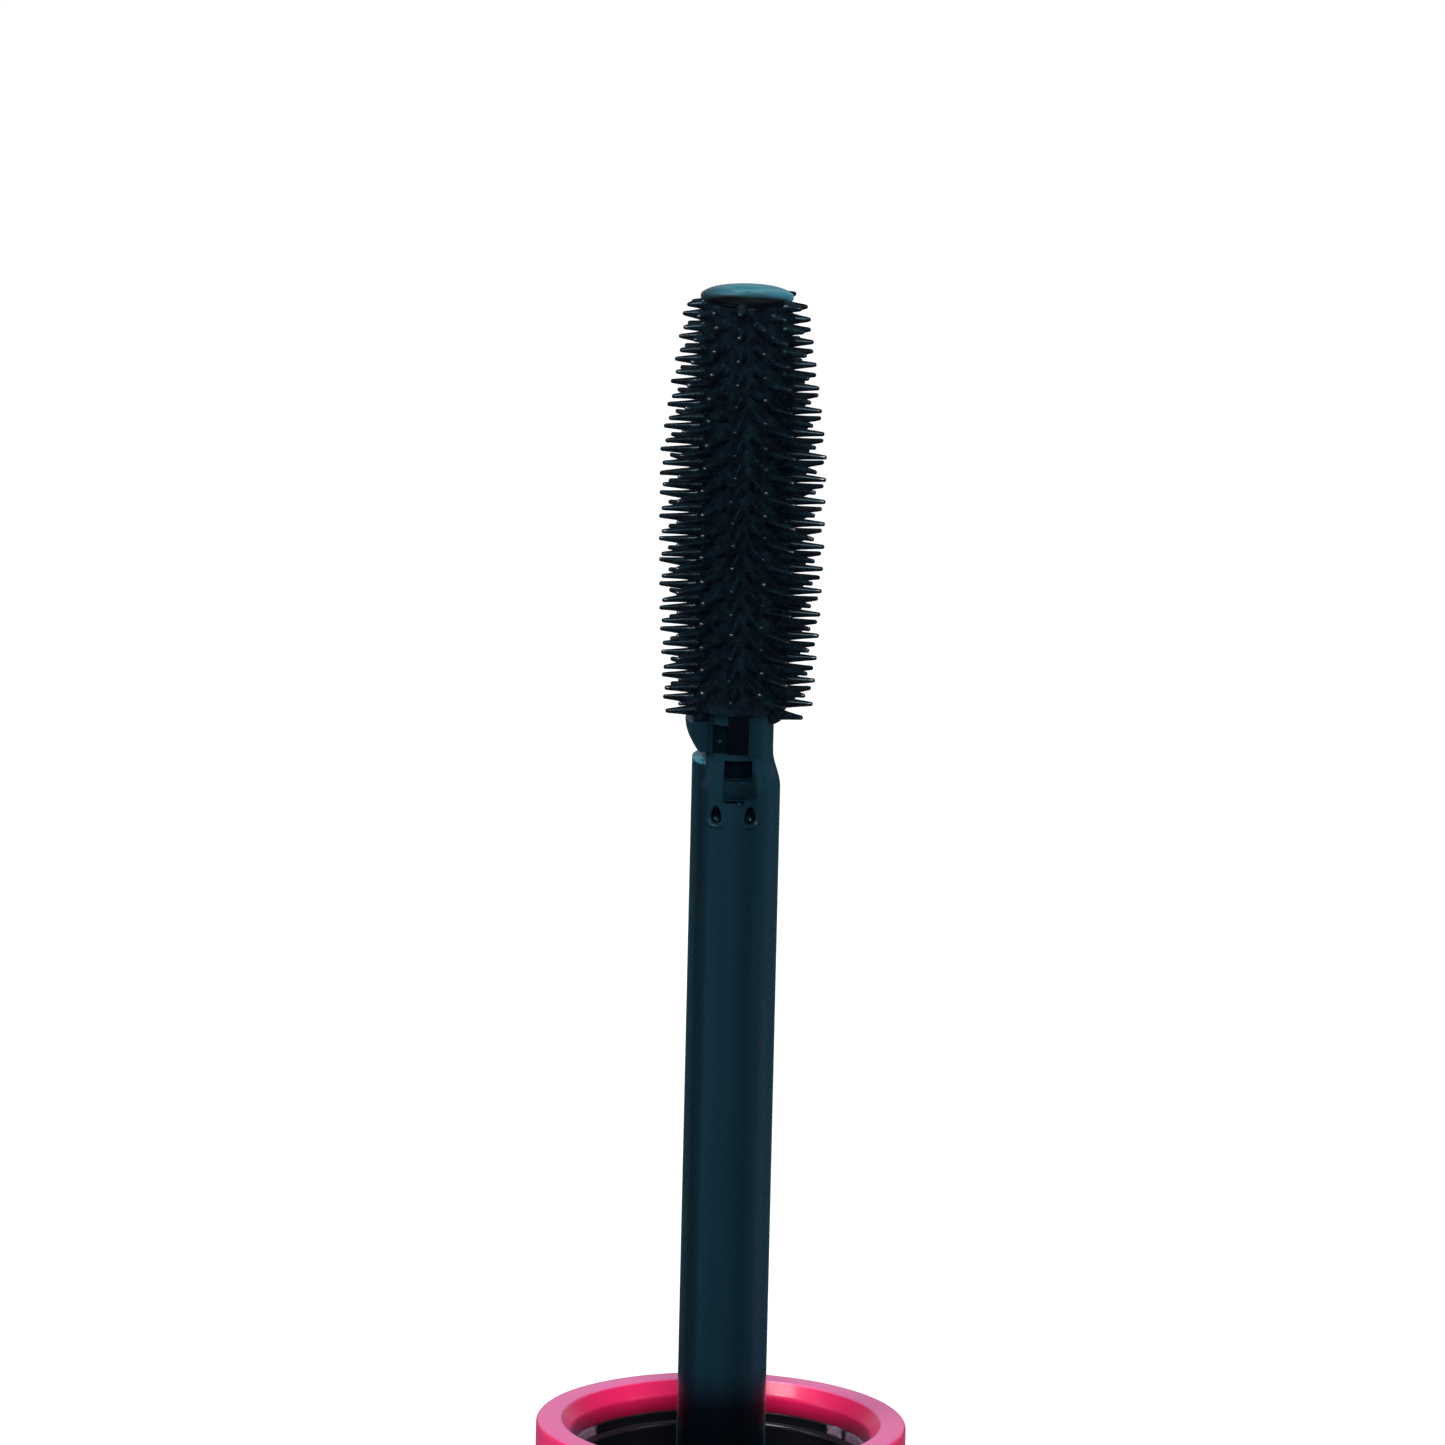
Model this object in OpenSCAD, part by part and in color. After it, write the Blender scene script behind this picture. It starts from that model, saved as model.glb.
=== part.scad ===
// Mascara: an applicator standing on its cap with the brush up, and its open tube standing beside it.
// Millimetres, +Z up, origin at the middle of the cap's flat end.

/* [Body] */
// Outside diameter of the cap and of the tube
body_d = 18.8; // [17.5:0.1:20]
// Height of the cap
cap_h = 52; // [46:1:60]
// Height of the tube up to its shoulder
tube_h = 66; // [63:1:75]
// Distance from the middle of the cap to the middle of the tube
tube_x = 50; // [40:1:80]

/* [Cap] */
// Diameter of the cap's bore
cap_bore_d = 15.2; // [15:0.1:15.4]
// Thickness of the cap's closed end
cap_end_t = 2; // [1.5:0.1:4]
// Width of the flat lip round the cap's mouth
lip_w = 1.25; // [0.9:0.05:1.4]
// Depth of the bevel inside the lip
lip_bevel_h = 0.7; // [0.4:0.1:1.2]
// Radius of the cap's outer edges
edge_r = 0.25; // [0.1:0.05:0.6]

/* [Closure] */
// Depth of the closure's inner rim below the cap's rim
closure_drop = 1.9; // [1.5:0.1:2.5]
// Diameter of the closure's mouth
closure_mouth_d = 13.9; // [13.8:0.1:14]
// Depth from the cap's rim to the face that the rod's flange seats on
seat_drop = 14.1; // [13.5:0.1:15]
// Length of the socket that holds the foot of the rod
socket_len = 8; // [6:0.5:12]
// Angle between the X axis and each of the four lugs that centre the closure in the cap
lug_spread = 22; // [15:1:28]

/* [Rod] */
// Outside diameter of the rod
rod_d = 4.5; // [4.3:0.1:4.6]
// Inside diameter of the rod
rod_bore_d = 2.9; // [2.6:0.1:3]
// Height of the rod's mouth above the cap's rim
rod_mouth_h = 34.85; // [33:0.05:36]
// Thickness of the flange at the foot of the rod
flange_t = 1.2; // [1:0.1:1.5]

/* [Brush] */
// Height of the brush's tip above the cap's rim
tip_h = 59.1; // [58.5:0.1:60]
// Height of the lowest bristles above the cap's rim
field_low = 37; // [36.8:0.1:38]
// Diameter of the brush between its bristles
brush_body_d = 4.54; // [4.4:0.02:4.6]
// Diameter of the neck between the rod and the brush
neck_d = 3.7; // [3.5:0.05:3.9]
// Number of rows of bristles round the brush
bristle_rows = 16; // [8:2:20]
// Distance between bristles along a row
bristle_pitch = 1.173; // [1:0.001:1.6]
// Diameter of a bristle at its root
bristle_root_d = 0.46; // [0.3:0.01:0.48]
// Diameter of a bristle at its end
bristle_end_d = 0.15; // [0.1:0.01:0.2]

/* [Tube] */
// Thickness of the tube's outer sleeve
sleeve_t = 1; // [0.8:0.1:1.2]
// Thickness of the bottle's wall
bottle_t = 1.3; // [1:0.1:1.6]
// Length of the bottle's neck above the shoulder
bottle_neck_h = 12; // [11:0.1:12.1]
// Diameter of the neck below its thread
thread_root_d = 12.1; // [11.8:0.1:12.2]
// Diameter over the neck's thread
thread_d = 13.3; // [13:0.1:13.4]
// Distance between the turns of the thread
thread_pitch = 3; // [2.5:0.1:3.5]
// Turns of thread
thread_turns = 1.75; // [1:0.25:2]
// Diameter of the wiper's hole
wiper_hole_d = 4.4; // [4.2:0.1:4.5]
// Depth of the mascara in the bottle
fill_h = 44; // [20:1:48]

/* [Hidden] */
$fn = 96;
over = 1;
body_r = body_d / 2;
cap_bore_r = cap_bore_d / 2;
rod_r = rod_d / 2;
rod_bore_r = rod_bore_d / 2;
neck_r = neck_d / 2;

// Closure, measured from the cap's rim at z = cap_h
closure_mouth_r = closure_mouth_d / 2;
closure_skirt_t = 0.3;
ridge_groove_h = 0.45;
// The closure's outer rim, and the lugs that reach in from it, stand this much above its inner rim
outer_rise = 0.4;
outer_ridge_t = 0.2;
lug_angle = 18;
// Two narrower lugs beside them are stops
stop_spread = 38;
stop_angle = 9;
web_t = 1.5;
closure_top = cap_h - closure_drop;
seat_z = cap_h - seat_drop;
socket_r = rod_r + 1.4;
skirt_below_web = 4;

// Rod
flange_r = 4.2;
seal_cone_r = 3;
seal_cone_h = 3.5;
mouth_z = cap_h + rod_mouth_h;
shoulder_top = 0.4;
shoulder_low = 1.55;
ledge_half_angle = 38;
dimple_r = 0.5;
dimple_depth = 0.22;
dimple_drop = 2.6;
dimple_angles = [-25, 21];
window_w = 1.4;
window_h = 1;
window_low = 0.8;
window_shift = 0.1;

// Brush
brush_low = cap_h + field_low - 0.15;
brush_top = cap_h + tip_h - 0.4;
brush_body_r = brush_body_d / 2;
body_sides = 2 * bristle_rows;
core_r = 1.7;
shank_len = 7;
tip_r = 2.35;
tip_dome_h = 0.22;
tab_half_angle = 30;
tab_r = neck_r + 0.78;
tab_h = 1.9;
pocket_left = -1.2;
pocket_right = 0.6;
pocket_low = brush_low - 1.5;
pocket_r = neck_r - 0.5;
// The gate, where the sleeve was moulded in, runs from the pocket up under the sleeve
gate_w = 1.05;
gate_high = brush_low + 0.75;
// The brush's body stops this much higher across its front, where the neck shows above the pocket
notch_w = 4.1;
notch_h = 0.6;
// The front rows start this much higher, and the top bristles stop this much below the tip
front_gap = 1.15;
top_gap = 0.6;
// The bristles' rows are mirrored about a plane turned this far from +Y
chevron_angle = 5;
// Each row is this share of the pitch lower than its neighbour
chevron_step = 1 / 3;
// Height of one bristle in the row nearest -X, above the cap's rim
bristle_ref_h = 50.68;
// Reach of the bristles from the axis at heights above the cap's rim
envelope = [[36.9, 3.73], [41.4, 4.02], [46, 4.18], [50.7, 4.2], [54.2, 3.74], [58.8, 3.06]];

// Tube, measured from its own axis
sleeve_bore_r = body_r - sleeve_t;
bottle_bore_r = sleeve_bore_r - bottle_t;
plug_t = 1.6;
plug_spigot_h = 2;
floor_z = plug_t + plug_spigot_h;
shoulder_r = 7.3;
shoulder_step_h = 1.6;
shoulder_t = 1.6;
thread_root_r = thread_root_d / 2;
thread_r = thread_d / 2;
neck_bore_r = 4.6;
neck_top = tube_h + bottle_neck_h;
thread_start = 3.4;
closure_thread_r = closure_mouth_r - 0.6;
wiper_t = 0.7;
wiper_flange_r = 5.7;
wiper_flange_t = 0.8;
wiper_straight = 4;
wiper_cone_h = 5;
wiper_hole_r = wiper_hole_d / 2;

// Points of a quarter circle of radius r about (cx, cy), from angle a, used to round an outline's corner.
function corner(cx, cy, r, a) = [for (i = [0:4]) [cx + r * cos(a + i * 22.5), cy + r * sin(a + i * 22.5)]];

// How far down its row a bristle sits, counted in rows from the mirror plane.
function row_drop(k) = (k < bristle_rows / 2 ? k + 1 : bristle_rows - 1 - k) * chevron_step;

// Height of bristle i in row k above the cap's rim.
function bristle_h(k, i) =
    let (ref = row_drop(round(bristle_rows * 0.19)))
    let (start = bristle_ref_h - (row_drop(k) - ref) * bristle_pitch)
    let (lowest = start - floor((start - field_low) / bristle_pitch) * bristle_pitch)
    lowest + i * bristle_pitch;

// Lowest height at which row k has a bristle.
function row_low(k) =
    let (a = 90 + chevron_angle + (k + 0.5) * 360 / bristle_rows)
    abs(a - 270) < 66 ? field_low + front_gap : field_low;

// Corner i of the brush's body, which has two flats for each row of bristles, one of them under the row.
function corner_of_body(i) =
    let (a = 90 + chevron_angle + (i + 0.5) * 360 / body_sides)
    [brush_body_r * cos(a), brush_body_r * sin(a)];

// A screw ridge: a trapezoid swept along a helix, sinking into the wall over a sixth of a turn at each end.
// It stands on a wall of radius root_r and reaches radius crest_r, which is the smaller one inside a bore.
module screw_ridge(root_r, crest_r, base_w, crest_w) {
    turn_steps = 36;
    steps = turn_steps * thread_turns;
    side = sign(crest_r - root_r);
    foot_r = root_r - side * 0.3;
    points = [
        for (i = [0:steps])
            let (fade = min(1, (i + 0.2) / 6, (steps - i + 0.2) / 6))
            let (reach = root_r + (crest_r - root_r) * fade)
            let (z = i / turn_steps * thread_pitch)
            let (a = i * 360 / turn_steps)
            let (low = [[foot_r, -base_w / 2], [reach, -crest_w / 2]])
            let (high = [[reach, crest_w / 2], [foot_r, base_w / 2]])
            for (p = concat(low, high))
                [p[0] * cos(a), p[0] * sin(a), z + side * p[1]]
    ];
    quads = [
        for (i = [0:steps - 1])
            for (j = [0:3])
                [4 * i + j, 4 * i + (j + 1) % 4, 4 * i + 4 + (j + 1) % 4, 4 * i + 4 + j]
    ];
    ends = [[3, 2, 1, 0], [for (j = [0:3]) 4 * steps + j]];
    polyhedron(points, concat(ends, quads), convexity = 6);
}

// Outer shell of the cap: a straight cup with a flat lip that is bevelled inside.
module overcap() {
    bevel_r = body_r - lip_w;
    color([0.9, 0.2, 0.47])
        rotate_extrude()
            polygon(concat(
                [[0, 0]],
                corner(body_r - edge_r, edge_r, edge_r, -90),
                corner(body_r - edge_r, cap_h - edge_r, edge_r, 0),
                [[bevel_r, cap_h]],
                [[cap_bore_r, cap_h - lip_bevel_h]],
                [[cap_bore_r, cap_end_t]],
                [[0, cap_end_t]]
            ));
}

// A lug across the groove between the closure's two rims, at angle a and w degrees wide.
module closure_lug(a, w) {
    rotate([0, 0, a - w / 2])
        rotate_extrude(angle = w)
            translate([closure_mouth_r + 0.1, closure_top - 1])
                square([cap_bore_r - closure_mouth_r - 0.15, 1 + outer_rise]);
}

// Threaded inner closure, pressed into the cap, with a socket for the rod behind its web.
module closure() {
    bore_low = seat_z;
    outer_low = seat_z - web_t - skirt_below_web;
    color([0.05, 0.05, 0.06]) {
        difference() {
            union() {
                translate([0, 0, outer_low])
                    cylinder(r = closure_mouth_r + closure_skirt_t, h = closure_top - outer_low);
                translate([0, 0, outer_low])
                    cylinder(r = cap_bore_r, h = closure_top - ridge_groove_h - outer_low);
                difference() {
                    translate([0, 0, outer_low])
                        cylinder(r = cap_bore_r, h = closure_top + outer_rise - outer_low);
                    translate([0, 0, outer_low - over])
                        cylinder(r = cap_bore_r - outer_ridge_t, h = closure_top + over);
                }
                for (a = [lug_spread, 180 - lug_spread, 180 + lug_spread, 360 - lug_spread])
                    closure_lug(a, lug_angle);
                for (a = [stop_spread, 180 + stop_spread])
                    closure_lug(a, stop_angle);
            }
            translate([0, 0, bore_low])
                cylinder(r = closure_mouth_r, h = cap_h);
            translate([0, 0, outer_low - over])
                cylinder(r = cap_bore_r - 1.2, h = skirt_below_web + over);
            translate([0, 0, bore_low - web_t - over])
                cylinder(r = rod_r, h = web_t + 2 * over);
        }
        difference() {
            translate([0, 0, seat_z - socket_len])
                cylinder(r = socket_r, h = socket_len - web_t + 0.2);
            translate([0, 0, seat_z - socket_len - over])
                cylinder(r = rod_r, h = socket_len + 2 * over);
        }
        translate([0, 0, closure_top - thread_start - thread_pitch * thread_turns])
            screw_ridge(closure_mouth_r, closure_thread_r, 1.2, 0.5);
    }
}

// Outline of the rod's outside at its mouth: an S-shaped shoulder from the rod's radius in to the neck's.
function shoulder_outline() = [
    for (i = [0:8])
        let (t = i / 8)
        [neck_r + (rod_r - neck_r) * (1 + cos(180 * t)) / 2,
         mouth_z - shoulder_low + (shoulder_low + shoulder_top) * t]
];

// Hollow rod with a sealing flange at its foot. Its mouth has a soft shoulder with a window at the front,
// and a square ledge towards -X.
module rod() {
    foot_z = seat_z - socket_len;
    color([0.06, 0.17, 0.2])
        difference() {
            union() {
                rotate_extrude()
                    polygon(concat(
                        [[0, foot_z], [rod_r, foot_z], [rod_r, seat_z]],
                        [[flange_r, seat_z], [flange_r, seat_z + flange_t]],
                        [[seal_cone_r, seat_z + flange_t], [rod_r, seat_z + flange_t + seal_cone_h]],
                        shoulder_outline(),
                        [[0, mouth_z + shoulder_top]]
                    ));
                rotate([0, 0, 180 - ledge_half_angle])
                    rotate_extrude(angle = 2 * ledge_half_angle)
                        translate([rod_r - 1, mouth_z - shoulder_low - 0.5])
                            square([1, shoulder_low + 0.5]);
            }
            translate([0, 0, foot_z + 2])
                cylinder(r = rod_bore_r, h = mouth_z);
            for (a = dimple_angles)
                rotate([0, 0, a - 90])
                    translate([rod_r + dimple_r - dimple_depth, 0, mouth_z - dimple_drop])
                        sphere(r = dimple_r);
            translate([window_shift - window_w / 2, -rod_r - over, mouth_z - window_low])
                cube([window_w, over + rod_r - 1, window_h]);
        }
}

// Edge of the tab, curving out from radius r1 at its foot to radius r2 under the brush.
function tab_curve(r1, r2) = [
    for (i = [0:8])
        [r1 + (r2 - r1) * sin(i * 90 / 8), brush_low - tab_h * (1 - i / 8)]
];

// Moulded core of the brush: shank in the rod, neck with its tab and pocket, axis and domed tip. A channel
// for the gate runs up from the pocket.
module brush_core() {
    shank_low = mouth_z - shank_len;
    tip_z = cap_h + tip_h;
    color([0.1, 0.27, 0.31]) {
        difference() {
            rotate_extrude()
                polygon(concat(
                    [[0, shank_low], [rod_bore_r - 0.3, shank_low], [rod_bore_r, shank_low + 0.6]],
                    [[rod_bore_r, mouth_z + shoulder_top], [neck_r, mouth_z + shoulder_top]],
                    [[neck_r, brush_low], [core_r, brush_low], [core_r, brush_top]],
                    [[tip_r, brush_top], [tip_r, tip_z - tip_dome_h - 0.08]],
                    [[tip_r - 0.15, tip_z - tip_dome_h]],
                    [for (a = [22.5:22.5:90]) [(tip_r - 0.15) * cos(a), tip_z - tip_dome_h * (1 - sin(a))]]
                ));
            translate([pocket_left, -pocket_r - over, pocket_low])
                cube([pocket_right - pocket_left, over, brush_low - pocket_low]);
            translate([pocket_right - gate_w, -pocket_r - over, pocket_low])
                cube([gate_w, over, gate_high - pocket_low]);
        }
        rotate([0, 0, 180 - tab_half_angle])
            rotate_extrude(angle = 2 * tab_half_angle)
                polygon(concat(tab_curve(neck_r - 0.1, tab_r), [[neck_r - 0.2, brush_low]]));
    }
}

// Soft sleeve over the core with rows of tapered bristles, each row a step lower than the last. A block of
// it fills one end of the core's pocket, where it was moulded in.
module bristle_sleeve() {
    color([0.03, 0.04, 0.05])
        union() {
            difference() {
                translate([0, 0, brush_low])
                    linear_extrude(brush_top - brush_low)
                        polygon([for (i = [0:body_sides - 1]) corner_of_body(i)]);
                translate([0, 0, brush_low - over])
                    cylinder(r = core_r, h = brush_top);
                translate([-notch_w / 2, -brush_body_r - over, brush_low - over])
                    cube([notch_w, brush_body_r, over + notch_h]);
            }
            translate([pocket_right - gate_w, -core_r - 0.05, pocket_low])
                cube([gate_w, core_r + 0.05 - pocket_r, gate_high - pocket_low]);
            for (k = [0:bristle_rows - 1])
                rotate([0, 0, 90 + chevron_angle + (k + 0.5) * 360 / bristle_rows])
                    for (i = [0:ceil((tip_h - field_low) / bristle_pitch)])
                        let (h = bristle_h(k, i))
                        if (h > row_low(k) && h < tip_h - top_gap)
                            translate([core_r + 0.2, 0, cap_h + h])
                                rotate([0, 90, 0])
                                    cylinder(
                                        r1 = bristle_root_d / 2,
                                        r2 = bristle_end_d / 2,
                                        h = lookup(h, envelope) - core_r - 0.2
                                    );
        }
}

// Coloured sleeve round the bottle, straight and open at both ends.
module tube_sleeve() {
    color([0.9, 0.2, 0.47])
        translate([tube_x, 0, 0])
            rotate_extrude()
                polygon(concat(
                    corner(body_r - edge_r, edge_r, edge_r, -90),
                    corner(body_r - edge_r, tube_h - edge_r, edge_r, 0),
                    [[sleeve_bore_r, tube_h], [sleeve_bore_r, 0]]
                ));
}

// Bottle that holds the mascara: a straight body open at the base, a stepped shoulder and a threaded neck.
module bottle() {
    color([0.05, 0.05, 0.06])
        translate([tube_x, 0, 0]) {
            rotate_extrude()
                polygon(concat(
                    [[bottle_bore_r, plug_t], [sleeve_bore_r, plug_t], [sleeve_bore_r, tube_h]],
                    [[shoulder_r, tube_h], [shoulder_r, tube_h + shoulder_step_h - 0.3]],
                    [[shoulder_r - 0.3, tube_h + shoulder_step_h]],
                    [[thread_root_r, tube_h + shoulder_step_h]],
                    [[thread_root_r, neck_top - 0.3], [thread_root_r - 0.3, neck_top]],
                    [[neck_bore_r, neck_top], [neck_bore_r, tube_h - shoulder_t + 1]],
                    [[bottle_bore_r, tube_h - shoulder_t - 1]]
                ));
            translate([0, 0, tube_h + thread_start])
                screw_ridge(thread_root_r, thread_r, 1.2, 0.5);
        }
}

// Wiper pressed into the neck: a flange on the neck's rim, a straight wall, a funnel and a lipped hole.
module wiper() {
    outer = [
        [wiper_flange_r, neck_top], [wiper_flange_r, neck_top + wiper_flange_t],
        [neck_bore_r - wiper_t, neck_top + wiper_flange_t]
    ];
    low = neck_top - wiper_straight;
    color([0.09, 0.09, 0.1])
        translate([tube_x, 0, 0])
            rotate_extrude()
                polygon(concat(
                    outer,
                    [[neck_bore_r - wiper_t, low], [wiper_hole_r, low - wiper_cone_h]],
                    [[wiper_hole_r, low - wiper_cone_h - 1.2]],
                    [[wiper_hole_r + 0.5, low - wiper_cone_h - 1.2]],
                    [[wiper_hole_r + 0.5, low - wiper_cone_h], [neck_bore_r, low], [neck_bore_r, neck_top]]
                ));
}

// Plug that closes the base of the bottle and of the sleeve.
module base_plug() {
    color([0.05, 0.05, 0.06])
        translate([tube_x, 0, 0])
            rotate_extrude()
                polygon([
                    [0, 0], [sleeve_bore_r, 0], [sleeve_bore_r, plug_t],
                    [bottle_bore_r, plug_t], [bottle_bore_r, floor_z],
                    [bottle_bore_r - 1, floor_z], [bottle_bore_r - 1, plug_t + 0.4], [0, plug_t + 0.4]
                ]);
}

// The mascara in the bottle, with the dip that the brush leaves.
module mascara() {
    dip_r = 4;
    dip_h = 1.5;
    color([0.02, 0.02, 0.02])
        translate([tube_x, 0, 0])
            rotate_extrude()
                polygon([
                    [0, plug_t + 0.4], [bottle_bore_r - 1, plug_t + 0.4], [bottle_bore_r - 1, floor_z],
                    [bottle_bore_r, floor_z], [bottle_bore_r, fill_h], [dip_r, fill_h - dip_h / 2],
                    [dip_r / 2, fill_h - dip_h], [0, fill_h - dip_h]
                ]);
}

overcap();
closure();
rod();
brush_core();
bristle_sleeve();
tube_sleeve();
bottle();
wiper();
base_plug();
mascara();
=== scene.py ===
"""Looks of the mascara: the applicator standing on its cap with the brush up, and its open tube beside it.

Lengths are written in millimetres and turned into metres where a mesh is made.
"""

import math
import random

import bmesh
import bpy
from mathutils import Matrix, Vector


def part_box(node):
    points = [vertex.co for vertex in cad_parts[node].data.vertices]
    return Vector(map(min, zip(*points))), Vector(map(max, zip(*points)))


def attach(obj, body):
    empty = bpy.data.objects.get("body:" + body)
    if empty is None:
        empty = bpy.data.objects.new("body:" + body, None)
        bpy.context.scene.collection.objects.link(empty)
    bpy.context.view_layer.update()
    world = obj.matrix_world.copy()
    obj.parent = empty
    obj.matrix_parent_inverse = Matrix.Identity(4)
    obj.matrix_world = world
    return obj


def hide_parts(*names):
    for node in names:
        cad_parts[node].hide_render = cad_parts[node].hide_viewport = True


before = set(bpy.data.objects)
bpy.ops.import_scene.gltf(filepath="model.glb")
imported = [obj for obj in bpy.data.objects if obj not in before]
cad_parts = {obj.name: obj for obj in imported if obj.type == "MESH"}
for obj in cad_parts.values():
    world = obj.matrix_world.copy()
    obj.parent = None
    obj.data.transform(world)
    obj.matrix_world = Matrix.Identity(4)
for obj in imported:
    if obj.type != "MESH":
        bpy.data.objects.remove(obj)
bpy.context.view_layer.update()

MM = 0.001
SEGMENTS = 192


def node_box(node):
    """Lowest and highest corner of a CAD node, in millimetres."""
    low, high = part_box(node)
    return low / MM, high / MM


def middle_x(node):
    """Where a round node's axis stands along X, in millimetres."""
    low, high = node_box(node)
    return (low.x + high.x) / 2


def radius(node):
    """Radius of a round node over its widest part, in millimetres."""
    low, high = node_box(node)
    return (high.x - low.x) / 2


# Sizes that the frame gives
CAP_R = radius("overcap")
CAP_H = node_box("overcap")[1].z
CLOSURE_R = radius("closure")
CLOSURE_LOW = node_box("closure")[0].z
LUG_TOP = node_box("closure")[1].z
ROD_FOOT, ROD_TOP = node_box("rod")[0].z, node_box("rod")[1].z
FLANGE_R = radius("rod")
SHANK_LOW, TIP_Z = node_box("brush_core")[0].z, node_box("brush_core")[1].z
POCKET_LOW, BRUSH_TOP = node_box("bristle_sleeve")[0].z, node_box("bristle_sleeve")[1].z
TUBE_X = middle_x("tube_sleeve")
TUBE_R = radius("tube_sleeve")
TUBE_H = node_box("tube_sleeve")[1].z
BOTTLE_R = radius("bottle")
BOTTLE_LOW, NECK_TOP = node_box("bottle")[0].z, node_box("bottle")[1].z
WIPER_R = radius("wiper")
WIPER_LOW, WIPER_TOP = node_box("wiper")[0].z, node_box("wiper")[1].z
PLUG_TOP = node_box("base_plug")[1].z
FILL_R = radius("mascara")
FILL_LOW, FILL_TOP = node_box("mascara")[0].z, node_box("mascara")[1].z

# Cap
LIP_W = 1.25
LIP_BEVEL_H = 0.7
CAP_END_T = 2.0
EDGE_R = 0.25

# Closure. Its outer rim and its lugs stand above its inner rim
OUTER_RISE = 0.4
LUG_CROWN = 0.06
# (angle from +X, width) of each lug and stop, in degrees
LUGS = ((22, 18), (158, 18), (202, 18), (338, 18), (38, 9), (218, 9))
CLOSURE_TOP = LUG_TOP - OUTER_RISE
MOUTH_R = 6.95
INNER_RIDGE_T = 0.34
OUTER_RIDGE_T = 0.2
GROOVE_R = MOUTH_R + INNER_RIDGE_T
GROOVE_H = 0.45
CAP_THREAD_H = 0.6
WEB_T = 1.5
SKIRT_T = 1.2
SOCKET_T = 1.4
SEAT_Z = ROD_FOOT + 8.0

# Rod
ROD_R = 2.25
ROD_BORE_R = 1.45
FLANGE_T = 1.2
SEAL_R = 3.0
SEAL_H = 3.5
SHOULDER_TOP = 0.4
SHOULDER_LOW = 1.55
MOUTH_Z = ROD_TOP - SHOULDER_TOP
LEDGE_HALF_ANGLE = 38.0
# Crimp marks: angles from the front, distance below the mouth, half width, half height, depth and raised lip
DIMPLE_ANGLES = (-26.0, 20.0)
DIMPLE_DROP = 2.55
DIMPLE_W = 0.29
DIMPLE_H = 0.46
DIMPLE_DEPTH = 0.34
DIMPLE_LIP = 0.13
# Window through the wall, the shallow pad under it, and the fine line under the pad
WINDOW_X = (-0.6, 0.8)
WINDOW_Z = (MOUTH_Z - 0.8, MOUTH_Z + 0.2)
PAD_X = (-0.62, 1.0)
PAD_Z = (MOUTH_Z - 1.72, MOUTH_Z - 0.8)
PAD_DEPTH = 0.13
LINE_X = (-0.7, 0.45)
LINE_Z = (MOUTH_Z - 2.0, MOUTH_Z - 1.76)
LINE_DEPTH = 0.14
PIP_R = 0.12

# Core of the brush, with its tab, its pocket and its tip
POCKET_H = 1.5
BRUSH_LOW = POCKET_LOW + POCKET_H
NECK_R = 1.85
CORE_R = 1.7
TIP_R = 2.35
DOME_R = TIP_R - 0.12
DOME_H = 0.22
TIP_FALL = 0.12
TIP_WAVE = 0.04
TAB_REACH = 0.78
TAB_H = 1.9
TAB_HALF_ANGLE = 30.0
TAB_GROOVE = 0.3
POCKET_X = (-1.2, 0.6)
POCKET_R = NECK_R - 0.5

# Sleeve of the brush, with the gate it was moulded through. Its lower edge is raised across the front
BODY_R = 2.27
GATE_X = (-0.45, 0.6)
GATE_OUT = CORE_R + 0.05
GATE_HIGH = BRUSH_LOW + 0.75
NOTCH_HALF_ANGLE = 55.0
NOTCH_H = 0.6
NOTCH_FADE = 1.5

# Bristles. Heights in this section are above the cap's rim
BRISTLE_ROWS = 16
BRISTLE_PITCH = 1.173
BRISTLE_SIDES = 12
BRISTLE_END_R = 0.12
# (share of the length from the body, radius) along a bristle
BRISTLE_TAPER = ((0.0, 0.36), (0.07, 0.3), (0.25, 0.255), (0.45, 0.21), (0.65, 0.17), (0.82, 0.14))
# Spread of how steeply a bristle leans to a side, and of how sharply it bends
BRISTLE_LEAN = 0.014
BRISTLE_BEND = 0.012
# The ends of the rows near this angle from +X are wet
WET_ANGLE = 236.0
WET_HALF_ANGLE = 22.0
# From the back to the front, each row's bristles stand this share of a pitch lower than the last row's. The
# mirror plane between the two sides is turned from the Y axis by this many degrees
CHEVRON_STEP = 1 / 3
CHEVRON_ANGLE = 5.0
# One bristle of this row is at this height, and the others follow from it
REFERENCE_ROW = 3
REFERENCE_H = 50.68
# The rows start here, those near the front a little higher, and all stop this far below the tip
FIELD_LOW = 37.0
FRONT_GAP = 1.15
FRONT_HALF_ANGLE = 45.0
TOP_GAP = 0.25
# (height, reach from the axis) along the bristles' outline
ENVELOPE = ((36.9, 3.73), (41.4, 4.02), (46.0, 4.18), (50.7, 4.2), (54.2, 3.74), (58.8, 3.06))

# Tube
SHOULDER_R = 7.3
SHOULDER_STEP_H = 1.6
THREAD_ROOT_R = 6.05
THREAD_R = 6.65
THREAD_PITCH = 3.0
THREAD_TURNS = 1.75
THREAD_START = 3.4
THREAD_BASE_W = 1.3
THREAD_CREST_W = 0.45
# Turns over which the thread's ends fade out
THREAD_FADE = 0.16
NECK_BORE_R = 4.6
WIPER_T = 0.7
WIPER_WALL_H = 4.0
WIPER_FUNNEL_H = 5.0
WIPER_HOLE_R = 2.2
WIPER_LIP_T = 0.5
PLUG_RING_W = 1.9
PLUG_RING_H = 0.3
PASTE_DIP = 1.5


# ---------------------------------------------------------------- mesh tools


def smooth_step(low, high, x):
    """0 below low, 1 above high, and a smooth rise between."""
    t = min(1.0, max(0.0, (x - low) / (high - low)))
    return t * t * (3 - 2 * t)


def turn_between(start, end):
    """Degrees from one angle in degrees to another, from -180 to 180."""
    return (end - start + 180) % 360 - 180


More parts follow.
